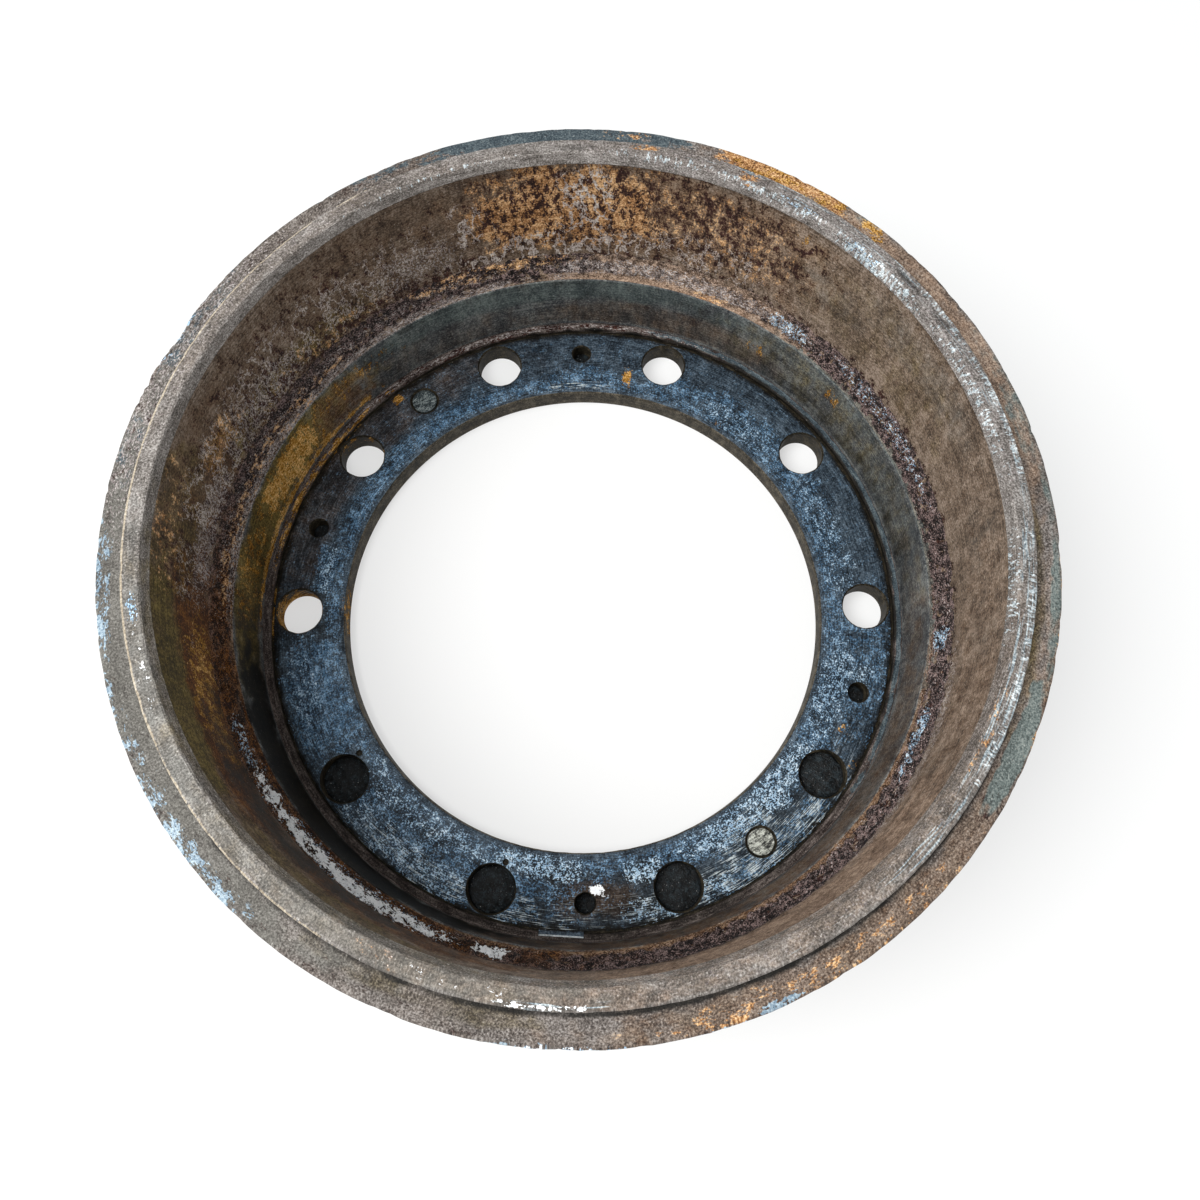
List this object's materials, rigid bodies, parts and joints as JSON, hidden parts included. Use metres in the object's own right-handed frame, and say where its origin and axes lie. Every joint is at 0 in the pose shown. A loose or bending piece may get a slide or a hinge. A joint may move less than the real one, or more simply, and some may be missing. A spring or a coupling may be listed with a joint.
{
  "type": "brake drum",
  "caption": "Deep cast iron brake drum with a drilled mounting web, a stepped neck, a worn shoe track and a thick outer band at its mouth.",
  "frame": {"origin": "centre of the wheel face, on the drum's axis, with the drum standing on that face", "axes": "+Z along the drum's axis towards its mouth; +X through the centre of a stud hole; +Y through a plug"},
  "size_m": [0.4448, 0.4448, 0.1641],
  "materials": {
    "cast_iron": "rusted casting with oily blue-grey turned faces",
    "plug_steel": "turned flush and scratched"
  },
  "bodies": {
    "root": {"brake_drum": "cast_iron", "plug_far": "plug_steel", "plug_near": "plug_steel"}
  },
  "joints": []
}
